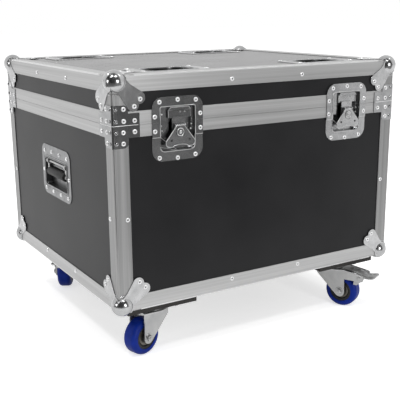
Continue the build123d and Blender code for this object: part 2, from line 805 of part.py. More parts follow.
with BuildPart() as handle_pin:
    with BuildSketch(Plane.YZ):
        with Locations((handle_pin_depth, pin_level)):
            Circle(handle_pin_radius)
    extrude(amount=handle_opening_width / 2 - handle_pin_end_gap, both=True)

bail_arm_side = handle_opening_width / 2 - bail_arm_room

with BuildPart() as handle_bail:
    for side in (-1, 1):
        with BuildSketch(Plane.YZ.offset(side * bail_arm_side)):
            with Locations((handle_pin_depth, pin_level)):
                Circle(bail_eye_radius)
            with Locations((handle_pin_depth, pin_level - bail_reach)):
                Rectangle(bail_arm_thickness, bail_reach, align=(Align.CENTER, Align.MIN))
                Circle(bail_bar_radius)
            with Locations((handle_pin_depth, pin_level)):
                Circle(handle_pin_radius + handle_pin_clearance, mode=Mode.SUBTRACT)
        extrude(amount=bail_arm_width / 2, both=True)
    with BuildSketch(Plane.YZ):
        with Locations((handle_pin_depth, pin_level - bail_reach)):
            Circle(bail_bar_radius)
    extrude(amount=bail_arm_side, both=True)

with BuildPart() as handle_grip:
    with BuildSketch(Plane.YZ):
        with Locations((handle_pin_depth, pin_level - bail_reach)):
            Circle(grip_radius)
            Circle(bail_bar_radius + grip_bore_clearance, mode=Mode.SUBTRACT)
    extrude(amount=bail_arm_side - bail_arm_width / 2 - grip_end_gap, both=True)

handle_places = {
    "left": Location((-half_width, 0, handle_middle), (0, 0, -90)),
    "right": Location((half_width, 0, handle_middle), (0, 0, 90)),
}

for kind, shape in (("handle_dishes", handle_dish), ("handle_pins", handle_pin)):
    with BuildPart() as handle_pair:
        with Locations(*handle_places.values()):
            add(shape.part)
    handle_pair.part.label = kind
    export_step(handle_pair.part, f"parts/{kind}.step")

for where, place in handle_places.items():
    for kind, shape in (("bail", handle_bail), ("grip", handle_grip)):
        with BuildPart() as handle_piece:
            with Locations(place):
                add(shape.part)
        handle_piece.part.label = f"handle_{kind}_{where}"
        export_step(handle_piece.part, f"parts/handle_{kind}_{where}.step")

# Castor dishes in the lid, where the castors of a case stacked on top stand
with BuildPart() as stack_dish:
    with BuildSketch(Plane.XY.offset(lid_roof_top)):
        RectangleRounded(stack_dish_width, stack_dish_depth, stack_dish_radius)
    extrude(amount=dish_thickness)
    with BuildSketch(Plane.XY.offset(lid_roof_top)):
        SlotOverall(stack_cup_width + 2 * dish_thickness, stack_cup_depth + 2 * dish_thickness)
    extrude(amount=-stack_cup_sink)
    with BuildSketch(Plane.XY.offset(lid_roof_top + dish_thickness)):
        SlotOverall(stack_cup_width, stack_cup_depth)
    extrude(amount=-stack_cup_sink, mode=Mode.SUBTRACT)

with BuildPart() as castor_dishes:
    with GridLocations(2 * stack_dish_x, 2 * stack_dish_y, 2, 2):
        add(stack_dish.part)
castor_dishes.part.label = "castor_dishes"
export_step(castor_dishes.part, "parts/castor_dishes.step")

# Castor plates: bolted top plate, swivel race and the riveted kingpin
race_bottom = plate_thickness + race_height
crown_top = race_bottom + race_gap
crown_bottom = crown_top + crown_thickness

with BuildPart() as castor_plate:
    with BuildSketch(Plane.XY):
        RectangleRounded(plate_length, plate_width, plate_corner_radius)
    extrude(amount=-plate_thickness)
    with BuildSketch(Plane.XZ):
        with BuildLine():
            Polyline((0, 0), (race_top_radius, 0), (race_top_radius, -plate_thickness),
                     (race_radius, -race_bottom), (kingpin_radius, -race_bottom),
                     (kingpin_radius, -crown_bottom - race_gap),
                     (kingpin_head_radius, -crown_bottom - race_gap),
                     (kingpin_radius, -crown_bottom - race_gap - kingpin_head_height),
                     (0, -crown_bottom - race_gap - kingpin_head_height), close=True)
        make_face()
    revolve(axis=Axis.Z)

with BuildPart() as castor_bolt_heads:
    with BuildSketch(Plane.XY.offset(-plate_thickness)):
        with GridLocations(bolt_spacing_length, bolt_spacing_width, 2, 2):
            RegularPolygon(bolt_head_radius, 6)
    extrude(amount=-bolt_head_height)

with BuildPart() as castor_plates:
    with Locations((0, 0, castor_height)):
        with GridLocations(2 * castor_x, 2 * castor_y, 2, 2):
            add(castor_plate.part)
castor_plates.part.label = "castor_plates"
export_step(castor_plates.part, "parts/castor_plates.step")

with BuildPart() as castor_bolts:
    with Locations((0, 0, castor_height)):
        with GridLocations(2 * castor_x, 2 * castor_y, 2, 2):
            add(castor_bolt_heads.part)
castor_bolts.part.label = "castor_bolts"
export_step(castor_bolts.part, "parts/castor_bolts.step")

# Castor forks: a crown plate and two bent-down cheeks; braked ones carry a leaf and two arms
cheek_outer = fork_gap / 2 + fork_cheek_thickness
axle_drop = castor_height - wheel_radius


def castor_fork(braked):
    """A fork trailing towards +X, its top plate's upper face at zero height."""
    with BuildPart() as fork:
        with BuildSketch(Plane.XY.offset(-crown_top)):
            Circle(crown_radius)
            with Locations((fork_front_reach, 0)):
                Rectangle(fork_cheek_thickness, 2 * cheek_outer, align=(Align.MAX, Align.CENTER))
            make_hull()
            if braked:
                Rectangle(brake_leaf_reach, brake_leaf_width, align=(Align.MIN, Align.CENTER))
            Circle(kingpin_radius + kingpin_clearance, mode=Mode.SUBTRACT)
        extrude(amount=-crown_thickness)
        for side in (-1, 1):
            with BuildSketch(Plane.XZ.offset(side * (cheek_outer - fork_cheek_thickness / 2))) as cheek:
                with Locations((castor_trail, -axle_drop)):
                    Circle(fork_end_radius)
                with Locations((-fork_back_reach, -crown_top)):
                    Rectangle(fork_back_reach + fork_front_reach, fork_shoulder,
                              align=(Align.MIN, Align.MAX))
                make_hull()
                if braked:
                    with BuildLine():
                        Polyline((castor_trail, -crown_top), (fork_front_reach, -crown_top),
                                 (brake_arm_reach, -brake_arm_end_drop),
                                 (brake_arm_reach, -brake_arm_bottom_drop),
                                 (castor_trail, -brake_arm_bottom_drop), close=True)
                    make_face()
                    fillet(cheek.vertices().group_by(Axis.X)[-1], radius=brake_arm_end_radius)
                    with Locations((brake_pivot_reach, -brake_pivot_drop)):
                        Circle(brake_pin_radius + brake_pin_clearance, mode=Mode.SUBTRACT)
                with Locations((castor_trail, -axle_drop)):
                    Circle(axle_radius + axle_clearance, mode=Mode.SUBTRACT)
            extrude(amount=fork_cheek_thickness / 2, both=True)
    return fork.part


# Wheels: a rubber tyre with a rounded tread on a dished nylon rim, turning on the axle bolt
with BuildPart() as castor_axle:
    with BuildSketch(Plane.XZ):
        with Locations((castor_trail, -axle_drop)):
            Circle(axle_radius)
    extrude(amount=cheek_outer, both=True)
    for side in (-1, 1):
        with BuildSketch(Plane.XZ.offset(side * cheek_outer)):
            with Locations((castor_trail, -axle_drop)):
                RegularPolygon(axle_head_radius, 6)
        extrude(amount=side * axle_head_height)

wheel_axis = Axis((castor_trail, 0, -axle_drop), (0, 1, 0))

with BuildPart() as castor_tyre:
    with BuildSketch(Plane.YZ.offset(castor_trail)) as tread:
        with Locations((0, rim_radius + tyre_seat_gap - axle_drop)):
            Rectangle(tyre_width, wheel_radius - rim_radius - tyre_seat_gap, align=(Align.CENTER, Align.MIN))
        fillet(tread.vertices().group_by(Axis.Y)[-1], radius=tyre_shoulder)
    revolve(axis=wheel_axis)

with BuildPart() as castor_rim:
    with BuildSketch(Plane.YZ.offset(castor_trail)):
        with Locations((0, rim_dish_radius - axle_drop)):
            Rectangle(rim_width, rim_radius - rim_dish_radius, align=(Align.CENTER, Align.MIN))
        with Locations((0, axle_radius + axle_clearance - axle_drop)):
            Rectangle(rim_dish_width, rim_dish_radius - axle_radius - axle_clearance,
                      align=(Align.CENTER, Align.MIN))
            Rectangle(rim_hub_width, rim_hub_radius - axle_radius - axle_clearance,
                      align=(Align.CENTER, Align.MIN))
    revolve(axis=wheel_axis)

# Brake pedals: a bent plate with two cheeks on a pin through the fork's arms, and a pad by the tyre
pedal_cheek_outer = fork_gap / 2 - pedal_cheek_gap
pedal_slope = (pedal_bend_drop - pedal_inner_drop) / (pedal_bend_reach - pedal_inner_reach)
pedal_pivot_drop = pedal_inner_drop + (brake_pivot_reach - pedal_inner_reach) * pedal_slope

with BuildPart() as brake_pedal:
    with BuildSketch(Plane.XZ):
        with BuildLine():
            Polyline((pedal_inner_reach, -pedal_inner_drop), (pedal_bend_reach, -pedal_bend_drop),
                     (pedal_tip_reach, -pedal_tip_drop),
                     (pedal_tip_reach, -pedal_tip_drop - pedal_thickness),
                     (pedal_bend_reach, -pedal_bend_drop - pedal_thickness),
                     (pedal_inner_reach, -pedal_inner_drop - pedal_thickness), close=True)
        make_face()
    extrude(amount=pedal_tip_width / 2, both=True)
    with BuildSketch(Plane.XY):
        with Locations((pedal_bend_reach, 0)):
            Rectangle(pedal_thickness, pedal_width, align=(Align.MIN, Align.CENTER))
        with Locations((pedal_tip_reach - pedal_tip_radius, pedal_tip_width / 2 - pedal_tip_radius),
                       (pedal_tip_reach - pedal_tip_radius, pedal_tip_radius - pedal_tip_width / 2)):
            Circle(pedal_tip_radius)
        make_hull()
        with Locations((pedal_inner_reach, 0)):
            Rectangle(pedal_bend_reach - pedal_inner_reach, pedal_width, align=(Align.MIN, Align.CENTER))
    extrude(amount=-axle_drop, mode=Mode.INTERSECT)
    for side in (-1, 1):
        with BuildSketch(Plane.XZ.offset(side * (pedal_cheek_outer - pedal_thickness / 2))):
            with Locations((brake_pivot_reach, -brake_pivot_drop)):
                Circle(pedal_cheek_radius)
            with Locations((pad_reach, -pad_drop)):
                Rectangle(pad_depth, pad_height, align=(Align.MIN, Align.MAX))
            with Locations((brake_pivot_reach, -pedal_pivot_drop - pedal_thickness)):
                Rectangle(pad_depth, pedal_thickness)
            make_hull()
        extrude(amount=pedal_thickness / 2, both=True)
    with BuildSketch(Plane.XZ):
        with Locations((pad_reach, -pad_drop)):
            Rectangle(pad_depth, pad_height, align=(Align.MIN, Align.MAX))
    extrude(amount=pedal_cheek_outer, both=True)
    with BuildSketch(Plane.XZ):
        with Locations((brake_pivot_reach, -brake_pivot_drop)):
            Circle(brake_pin_radius)
    extrude(amount=cheek_outer, both=True)

# Where each castor stands, and whether it has a brake
castor_places = {
    "front_right": (castor_x, -castor_y, True),
    "front_left": (-castor_x, -castor_y, False),
    "back_left": (-castor_x, castor_y, True),
    "back_right": (castor_x, castor_y, False),
}

for where, (x, y, braked) in castor_places.items():
    castor_pieces = [("fork", castor_fork(braked)), ("axle", castor_axle.part),
                     ("tyre", castor_tyre.part), ("rim", castor_rim.part)]
    if braked:
        castor_pieces.append(("brake_pedal", brake_pedal.part))
    for kind, shape in castor_pieces:
        with BuildPart() as castor_piece:
            with Locations(Location((x, y, castor_height), (0, 0, heading_degrees[where]))):
                add(shape)
        castor_piece.part.label = f"castor_{kind}_{where}"
        export_step(castor_piece.part, f"parts/castor_{kind}_{where}.step")
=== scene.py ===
from math import cos, pi, radians, sin

import bpy
from mathutils import Matrix, Vector


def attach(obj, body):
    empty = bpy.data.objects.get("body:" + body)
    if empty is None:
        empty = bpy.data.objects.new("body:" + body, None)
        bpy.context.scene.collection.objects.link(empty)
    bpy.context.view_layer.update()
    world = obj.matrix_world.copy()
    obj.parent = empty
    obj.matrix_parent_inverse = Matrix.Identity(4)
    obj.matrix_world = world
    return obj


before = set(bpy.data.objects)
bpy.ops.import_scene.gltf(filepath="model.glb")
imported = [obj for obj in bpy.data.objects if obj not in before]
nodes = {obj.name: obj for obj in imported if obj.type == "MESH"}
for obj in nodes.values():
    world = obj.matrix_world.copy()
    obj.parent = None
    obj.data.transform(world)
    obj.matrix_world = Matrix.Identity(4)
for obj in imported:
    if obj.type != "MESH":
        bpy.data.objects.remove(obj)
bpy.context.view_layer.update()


# Camera. A 68 mm lens, a little above the lid and turned 31 degrees round to the left of the case,
# standing 1.9 m off, as the photograph was taken.
def facing(place, normal):
    """The matrix that stands a thing at a place, its Z along a normal."""
    return Matrix.Translation(place) @ Vector(normal).to_track_quat("Z", "Y").to_matrix().to_4x4()


camera_place = (-0.8837, -1.5120, 0.6717)
camera_azimuth, camera_elevation, camera_roll = radians(-30.86), radians(14.20), radians(-0.56)
looking_back = (sin(camera_azimuth) * cos(camera_elevation),
                -cos(camera_azimuth) * cos(camera_elevation), sin(camera_elevation))
camera = bpy.data.objects.new("camera", bpy.data.cameras.new("camera"))
camera.data.sensor_width = 36
camera.data.lens = 68.27
camera.matrix_world = facing(camera_place, looking_back) @ Matrix.Rotation(camera_roll, 4, "Z")
bpy.context.scene.collection.objects.link(camera)
bpy.context.scene.camera = camera
bpy.context.scene.view_settings.view_transform = "Standard"


# Studio. A white floor in a white surround; the room behind the camera is dark, with a low softbox on
# each side of the camera and four small lamps higher up, which the plating mirrors. One diffused lamp
# overhead isn't mirrored.
def add_node(tree, kind, settings=None, **inputs):
    """A shader node; an input, by name or by i and its number, is a value or the socket that feeds it."""
    made = tree.nodes.new(kind)
    for key, value in (settings or {}).items():
        setattr(made, key, value)
    for key, value in inputs.items():
        socket = made.inputs[int(key[1:])] if key[0] == "i" and key[1:].isdigit() else made.inputs[key]
        if isinstance(value, bpy.types.NodeSocket):
            tree.links.new(value, socket)
        else:
            socket.default_value = value
    return made


def seen_rays(tree):
    """1 for what the camera, a reflection or glass sees, 0 for the light that falls on surfaces."""
    rays = add_node(tree, "ShaderNodeLightPath")
    first = add_node(tree, "ShaderNodeMath", {"operation": "MAXIMUM"},
                     i0=rays.outputs["Is Camera Ray"], i1=rays.outputs["Is Glossy Ray"])
    both = add_node(tree, "ShaderNodeMath", {"operation": "MAXIMUM"},
                    i0=first.outputs[0], i1=rays.outputs["Is Transmission Ray"])
    return both.outputs[0]


def new_material(name, metallic, roughness, **sockets):
    """A principled material, its even values set on the shader itself."""
    made = bpy.data.materials.new(name)
    made.use_nodes = True
    shader = made.node_tree.nodes["Principled BSDF"]
    shader.inputs["Metallic"].default_value = metallic
    shader.inputs["Roughness"].default_value = roughness
    for key, value in sockets.items():
        shader.inputs[key.replace("_", " ")].default_value = value
    return made, made.node_tree, shader


def loose_mesh(name, points, faces):
    """An object of plain points and faces."""
    mesh = bpy.data.meshes.new(name)
    mesh.from_pydata(points, [], faces)
    made = bpy.data.objects.new(name, mesh)
    bpy.context.scene.collection.objects.link(made)
    return made


falling_strength, seen_strength = 0.55, 1.0
world = bpy.data.worlds.new("studio")
bpy.context.scene.world = world
world.use_nodes = True
tree = world.node_tree
tree.nodes.clear()
surround = add_node(tree, "ShaderNodeMix", {"data_type": "FLOAT"}, Factor=seen_rays(tree),
                    i2=falling_strength, i3=seen_strength)
backdrop = add_node(tree, "ShaderNodeBackground", Color=(1, 1, 1, 1), Strength=surround.outputs[0])
add_node(tree, "ShaderNodeOutputWorld", Surface=backdrop.outputs[0])

floor_reach, floor_white = 20, (0.82, 0.82, 0.82, 1)
mirrored_lift, seen_lift, far_lift = 0.33, 0.60, 0.66
lift_from, lift_to = 0.6, 3.0
floor = loose_mesh("floor", [(across * floor_reach, along * floor_reach, 0)
                             for across, along in ((-1, -1), (1, -1), (1, 1), (-1, 1))], [(0, 1, 2, 3)])
floor_paint = bpy.data.materials.new("white_floor")
floor_paint.use_nodes = True
tree = floor_paint.node_tree
tree.nodes.clear()
coordinates = add_node(tree, "ShaderNodeTexCoord")
distance = add_node(tree, "ShaderNodeVectorMath", {"operation": "LENGTH"}, i0=coordinates.outputs["Object"])
rays = add_node(tree, "ShaderNodeLightPath")
near_lift = add_node(tree, "ShaderNodeMix", {"data_type": "FLOAT"}, Factor=rays.outputs["Is Camera Ray"],
                     i2=mirrored_lift, i3=seen_lift)
lift = add_node(tree, "ShaderNodeMapRange", Value=distance.outputs["Value"],
                **{"From Min": lift_from, "From Max": lift_to, "To Min": near_lift.outputs[0],
                   "To Max": far_lift})
matt = add_node(tree, "ShaderNodeBsdfDiffuse", Color=floor_white)
glow = add_node(tree, "ShaderNodeEmission", Color=(1, 1, 1, 1), Strength=lift.outputs[0])
lifted = add_node(tree, "ShaderNodeAddShader", i0=matt.outputs[0], i1=glow.outputs[0])
chosen = add_node(tree, "ShaderNodeMixShader", i0=seen_rays(tree), i1=matt.outputs[0], i2=lifted.outputs[0])
add_node(tree, "ShaderNodeOutputMaterial", Surface=chosen.outputs[0])
floor.data.materials.append(floor_paint)

case_middle = 0.3


def heading(azimuth, elevation, distance):
    """A place at so many degrees round from the front, to the right, and up from the case's middle."""
    turn, rise = radians(azimuth), radians(elevation)
    return Vector((sin(turn) * cos(rise) * distance, -cos(turn) * cos(rise) * distance,
                   sin(rise) * distance + case_middle))


def softbox(name, place, width, height, power, mirrored=True):
    """A rectangular lamp that faces the case; a diffused one isn't mirrored by the plating."""
    lamp = bpy.data.lights.new(name, "AREA")
    lamp.shape, lamp.size, lamp.size_y, lamp.energy = "RECTANGLE", width, height, power
    holder = bpy.data.objects.new(name, lamp)
    holder.matrix_world = facing(place, place - Vector((0, 0, case_middle)))
    holder.visible_glossy = mirrored
    bpy.context.scene.collection.objects.link(holder)


softbox("low_left", heading(-84, 10, 2.9), 0.55, 0.7, 9)
softbox("low_right", heading(4, 10, 2.9), 0.65, 0.8, 20)
softbox("high_left", heading(-55, 54, 2.8), 0.24, 0.24, 13)
softbox("high_right", heading(-8, 54, 2.8), 0.24, 0.24, 13)
softbox("side_left", heading(-119, 54, 2.9), 0.14, 0.14, 4)
softbox("side_right", heading(57, 54, 2.9), 0.14, 0.14, 4)
softbox("overhead", heading(165, 76, 2.9), 1.6, 1.2, 24, mirrored=False)

room_near, room_far, room_lift = 1.0, 4.6, 0.002
room_azimuths, room_elevations = range(-106, 39, 9), range(0, 91, 10)
columns = len(room_azimuths)
wall_points = [heading(azimuth, elevation, room_far) - Vector((0, 0, case_middle))
               for elevation in room_elevations for azimuth in room_azimuths]
ground_points = [(sin(radians(azimuth)) * reach, -cos(radians(azimuth)) * reach, room_lift)
                 for reach in (room_near, room_far) for azimuth in room_azimuths]
for name, points, shade in (("room_wall", wall_points, 0.05), ("room_ground", ground_points, 0.16)):
    room = loose_mesh(name, points, [(corner, corner + 1, corner + columns + 1, corner + columns)
                                     for row in range(0, len(points) - columns, columns)
                                     for corner in range(row, row + columns - 1)])
    room.data.materials.append(new_material(name, 0, 0.9, Base_Color=(shade, shade, shade, 1))[0])
    room.visible_camera = room.visible_diffuse = room.visible_shadow = room.visible_transmission = False


# Panels. Nine-millimetre birch plywood faced outside with black phenolic laminate, its skin pressed
# with a fine grain; the sheets stand in the slots of the rims and behind the edge angles.
def stretched_noise(tree, scale, detail=3.0, stretch=(1, 1, 1)):
    """Noise that stays with the piece, drawn out along its own axes."""
    coordinates = add_node(tree, "ShaderNodeTexCoord")
    drawn = add_node(tree, "ShaderNodeMapping", Vector=coordinates.outputs["Object"], Scale=stretch)
    made = add_node(tree, "ShaderNodeTexNoise", Vector=drawn.outputs[0], Scale=scale, Detail=detail)
    return made.outputs[0]


def shades(tree, factor, low, high, start=0.3, end=0.7):
    """A ramp from one colour to another over the middle of a noise."""
    ramp = add_node(tree, "ShaderNodeValToRGB", Fac=factor)
    ramp.color_ramp.elements[0].position, ramp.color_ramp.elements[1].position = start, end
    ramp.color_ramp.elements[0].color, ramp.color_ramp.elements[1].color = (*low, 1), (*high, 1)
    return ramp.outputs[0]


def between(tree, factor, low, high):
    """A number that runs from low to high with the factor."""
    return add_node(tree, "ShaderNodeMapRange", Value=factor, **{"To Min": low, "To Max": high}).outputs[0]


def relief(tree, shader, height, strength, distance):
    """Fine surface relief from a height."""
    bump = add_node(tree, "ShaderNodeBump", Strength=strength, Distance=distance, Height=height)
    tree.links.new(bump.outputs[0], shader.inputs["Normal"])


def laminate(name, low, high, roughness, gloss):
    """Black pressed laminate: a slow cloud in the colour, a fine pebble in the surface."""
    made, tree, shader = new_material(name, 0, roughness, Specular_IOR_Level=gloss)
    cloud = stretched_noise(tree, 9, 4)
    tree.links.new(shades(tree, cloud, low, high), shader.inputs["Base Color"])
    tree.links.new(between(tree, cloud, roughness - 0.04, roughness + 0.04), shader.inputs["Roughness"])
    relief(tree, shader, stretched_noise(tree, 900, 2), 0.18, 0.0004)
    return made


def dress(material, *names):
    """Gives CAD nodes their finish."""
    for name in names:
        mesh = nodes[name].data
        mesh.materials.clear()
        mesh.materials.append(material)


side_laminate = laminate("black_laminate", (0.006, 0.006, 0.007), (0.010, 0.010, 0.011), 0.40, 0.22)
# Painted light: the lid's top is the same laminate in a colour about twice as light, and glossier.
top_laminate_painted_lighter = laminate("black_laminate_top_painted_light", (0.012, 0.012, 0.013), (0.018, 0.018, 0.019), 0.26, 0.62)
dress(side_laminate, "base_front_panel", "base_back_panel", "base_end_panels", "base_floor_panel",
      "lid_wall_panels")
dress(top_laminate_painted_lighter, "lid_top_panel")


# Edge angle and rims. Natural anodised aluminium, extruded, so its fine lines run along each length, and
# rounded along the outer edges; mitred at the corners, riveted through the panels, the two rims meeting
# in a tongue and groove.
def soften(width, *names):
    """Rounds the sharp edges of CAD nodes a little, as drawing, pressing and tumbling do."""
    for name in names:
        weld = nodes[name].modifiers.new("join", "WELD")
        weld.merge_threshold = 0.00001
        bevel = nodes[name].modifiers.new("soften", "BEVEL")
        bevel.width, bevel.segments, bevel.limit_method = width, 2, "ANGLE"
        bevel.angle_limit = radians(40)
        bevel.harden_normals = True


half_width, half_depth, case_bottom, case_top = 0.336, 0.297, 0.117, 0.560
fine_lines, broad_lines = (2.5, 420, 420), (1.2, 90, 90)


def drawn_aluminium(name, upright, low, high):
    """Aluminium with die lines along each length, which runs along X or Y by where it lies, or upright."""
    made, tree, shader = new_material(name, 1, 0.4)
    coordinates = add_node(tree, "ShaderNodeTexCoord")
    axes = add_node(tree, "ShaderNodeSeparateXYZ", Vector=coordinates.outputs["Object"])
    if upright:
        along, across, level = axes.outputs[2], axes.outputs[0], axes.outputs[1]
    else:
        size_x = add_node(tree, "ShaderNodeMath", {"operation": "ABSOLUTE"}, i0=axes.outputs[0])
        size_y = add_node(tree, "ShaderNodeMath", {"operation": "ABSOLUTE"}, i0=axes.outputs[1])
        excess = add_node(tree, "ShaderNodeMath", {"operation": "SUBTRACT"},
                          i0=size_x.outputs[0], i1=size_y.outputs[0])
        sideways = add_node(tree, "ShaderNodeMath", {"operation": "GREATER_THAN"},
                            i0=excess.outputs[0], i1=half_width - half_depth)
        along = add_node(tree, "ShaderNodeMix", {"data_type": "FLOAT"}, Factor=sideways.outputs[0],
                         i2=axes.outputs[0], i3=axes.outputs[1]).outputs[0]
        across = add_node(tree, "ShaderNodeMix", {"data_type": "FLOAT"}, Factor=sideways.outputs[0],
                          i2=axes.outputs[1], i3=axes.outputs[0]).outputs[0]
        level = axes.outputs[2]
    laid = add_node(tree, "ShaderNodeCombineXYZ", X=along, Y=across, Z=level)
    heights = []
    for stretch in (fine_lines, broad_lines):
        drawn = add_node(tree, "ShaderNodeMapping", Vector=laid.outputs[0], Scale=stretch)
        heights.append(add_node(tree, "ShaderNodeTexNoise", Vector=drawn.outputs[0], Scale=1.0, Detail=2.0))
    lines = add_node(tree, "ShaderNodeMath", {"operation": "ADD"},
                     i0=heights[0].outputs[0], i1=heights[1].outputs[0])
    half = add_node(tree, "ShaderNodeMath", {"operation": "MULTIPLY"}, i0=lines.outputs[0], i1=0.5)
    tree.links.new(shades(tree, half.outputs[0], (low,) * 3, (high,) * 3, 0.35, 0.65),
                   shader.inputs["Base Color"])
    tree.links.new(between(tree, half.outputs[0], 0.38, 0.52), shader.inputs["Roughness"])
    relief(tree, shader, half.outputs[0], 0.2, 0.0003)
    return made


def tube(path, radius, steps=8, closed=False):
    """A round bar along a path, mitred at its turns, with plain ends."""
    path = [Vector(point) for point in path]
    points, faces = [], []
    count = len(path)
    side = None
    for place, point in enumerate(path):
        before = path[place - 1] if place or closed else None
        after = path[(place + 1) % count] if place + 1 < count or closed else None
        ahead = ((after - point).normalized() if after else Vector()) + \
                ((point - before).normalized() if before else Vector())
        ahead.normalize()
        if side is None:
            side = ahead.orthogonal()
        side = (side - ahead * side.dot(ahead)).normalized()
        up = ahead.cross(side)
        for step in range(steps):
            turn = 2 * pi * step / steps
            points.append(tuple(point + (side * cos(turn) + up * sin(turn)) * radius))
    for place in range(count if closed else count - 1):
        shift = 0
        if closed and place == count - 1:
            first, last = Vector(points[0]), [Vector(point) for point in points[-steps:]]
            shift = min(range(steps), key=lambda step: (last[step] - first).length)
        for step in range(steps):
            after = (step + 1) % steps
            start, following = place * steps, (place + 1) % count * steps
            faces.append((start + (step + shift) % steps, start + (after + shift) % steps,
                          following + after, following + step))
    if not closed:
        faces.append(tuple(range(steps))[::-1])
        faces.append(tuple(range(len(points) - steps, len(points))))
    return points, faces


def make_piece(name, body, material, shapes, smooth_angle=40):
    """One object made of several shapes, riding on a CAD body."""
    points, faces = [], []
    for shape_points, shape_faces in shapes:
        start = len(points)
        points.extend(shape_points)
        faces.extend(tuple(start + corner for corner in face) for face in shape_faces)
    made = loose_mesh(name, points, faces)
    for polygon in made.data.polygons:
        polygon.use_smooth = True
    made.data.set_sharp_from_angle(angle=radians(smooth_angle))
    made.data.materials.append(material)
    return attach(made, body)


long_aluminium = drawn_aluminium("drawn_aluminium", False, 0.40, 0.52)
# Painted shade: the corner posts are the same aluminium in a darker colour.
upright_aluminium_painted_shade = drawn_aluminium("drawn_aluminium_upright_painted_shade", True, 0.25, 0.37)
# Painted highlight: the rolled edges are the same aluminium in a lighter colour, drawn as bright lines.
painted_highlight_aluminium = drawn_aluminium("drawn_aluminium_edge_painted_highlight", False, 0.62, 0.74)
long_edges = ("bottom_edge_angles", "base_groove_rims", "lid_edge_angles", "lid_tongue_rims")
upright_edges = ("base_corner_posts", "lid_corner_posts")
dress(long_aluminium, *long_edges)
dress(upright_aluminium_painted_shade, *upright_edges)
soften(0.0004, *long_edges, *upright_edges)
roll_radius, roll_inset, roll_stop = 0.0020, 0.0017, 0.046
for body, level in (("base", case_bottom + roll_inset), ("lid", case_top - roll_inset)):
    rolls = []
    for side in (-1, 1):
        rolls.append([(along, side * (half_depth - roll_inset), level)
                      for along in (roll_stop - half_width, half_width - roll_stop)])
        rolls.append([(side * (half_width - roll_inset), along, level)
                      for along in (roll_stop - half_depth, half_depth - roll_stop)])
    # The rolls take the lighter aluminium, a painted highlight along each edge.
    make_piece(f"rolls_{body}_edges", body, painted_highlight_aluminium,
               [tube(path, roll_radius, steps=12) for path in rolls], smooth_angle=70)


# Rivets. Tubular steel rivets, bright plated, a domed ring with a near-black disc in its eye as painted
# shade; they hold every plate and length of angle to the plywood.
def lathe(profile, steps=20):
    """A shape turned about Z from (radius, height) pairs; a radius of nothing closes it in one point."""
    points, faces, rings = [], [], []
    for radius, height in profile:
        count = steps if radius else 1
        rings.append((len(points), count))
        for step in range(count):
            turn = 2 * pi * step / steps
            points.append((radius * cos(turn), radius * sin(turn), height))
    for (start, count), (next_start, next_count) in zip(rings, rings[1:]):
        for step in range(steps):
            after = (step + 1) % steps
            corners = (start + step % count, start + after % count,
                       next_start + after % next_count, next_start + step % next_count)
            faces.append(tuple(dict.fromkeys(corners)))
    return points, faces


def placed(shape, matrix):
    """A shape's points moved by a matrix."""
    points, faces = shape
    return [tuple(matrix @ Vector(point)) for point in points], faces


rivet_plate, tree, shader = new_material("rivet_plate", 0.6, 0.3)
worn = stretched_noise(tree, 260, 3)
tree.links.new(shades(tree, worn, (0.78, 0.78, 0.785), (0.90, 0.90, 0.905)), shader.inputs["Base Color"])
tree.links.new(between(tree, worn, 0.26, 0.42), shader.inputs["Roughness"])
# Painted shade: a near-black steel disc sits in each rivet's hollow eye.
painted_shade_steel, tree, shader = new_material("painted_shade_steel", 1, 0.5)
tree.links.new(shades(tree, stretched_noise(tree, 200, 2), (0.05, 0.05, 0.052), (0.10, 0.10, 0.104)),
               shader.inputs["Base Color"])
rivet_shape = lathe(((0.0015, -0.0004), (0.0016, 0.0009), (0.0021, 0.0015), (0.0028, 0.0017),
                     (0.0036, 0.0014), (0.0043, 0.0007), (0.0045, -0.0004), (0.0015, -0.0004)))
rivet_eye_shade_disc = lathe(((0, 0.0003), (0.0017, 0.0002), (0.0017, -0.0003), (0, -0.0003)), steps=12)


def rivets(name, body, places):
    """A group of rivets at (point, normal) places."""
    stands = [facing(point, normal) for point, normal in places]
    make_piece(name, body, rivet_plate, [placed(rivet_shape, stand) for stand in stands])
    make_piece(f"{name}_painted_eye_shades", body, painted_shade_steel,
               [placed(rivet_eye_shade_disc, stand) for stand in stands])


def on_four_sides(along, level):
    """The same height and distance from the middle on all four faces of the case."""
    places = []
    for side in (-1, 1):
        for mark in along:
            places.append(((mark, side * half_depth, level), (0, side, 0)))
            places.append(((side * half_width, mark, level), (side, 0, 0)))
    return places


def beside_corner(side_x, side_y, inset, proud, level):
    """The same mark on the two upright faces that meet in a corner of the case."""
    return [((side_x * (half_width - inset), side_y * (half_depth + proud), level), (0, side_y, 0)),
            ((side_x * (half_width + proud), side_y * (half_depth - inset), level), (side_x, 0, 0))]


case_corners = ((-1, -1), (-1, 1), (1, -1), (1, 1))
edge_marks, bottom_mark, top_mark = (-0.084, 0.084), 0.022, 0.019
post_inset, post_level = 0.024, 0.297
angle_places = on_four_sides(edge_marks, case_bottom + bottom_mark)
for side_x, side_y in case_corners:
    angle_places += beside_corner(side_x, side_y, post_inset, 0, post_level)
rivets("rivets_base_angles", "base", angle_places)
rivets("rivets_lid_angles", "lid", on_four_sides(edge_marks, case_top - top_mark))


# Ball corners. Pressed steel, bright plated: a hollow ball over the case corner, with a collar round
# it and a two-lobed plate down each face, two rivets to each plate that isn't underneath.
def plated(name, low, high, roughness):
    """Bright plating with faint clouding and fine rubbing marks."""
    made, tree, shader = new_material(name, 1, roughness)
    cloud = stretched_noise(tree, 60, 4)
    rub_marks_and_painted_shade = stretched_noise(tree, 30, 2, (60, 8, 8))
    tree.links.new(shades(tree, cloud, low, high), shader.inputs["Base Color"])
    tree.links.new(between(tree, rub_marks_and_painted_shade, roughness - 0.06, roughness + 0.1), shader.inputs["Roughness"])
    relief(tree, shader, cloud, 0.06, 0.001)
    return made


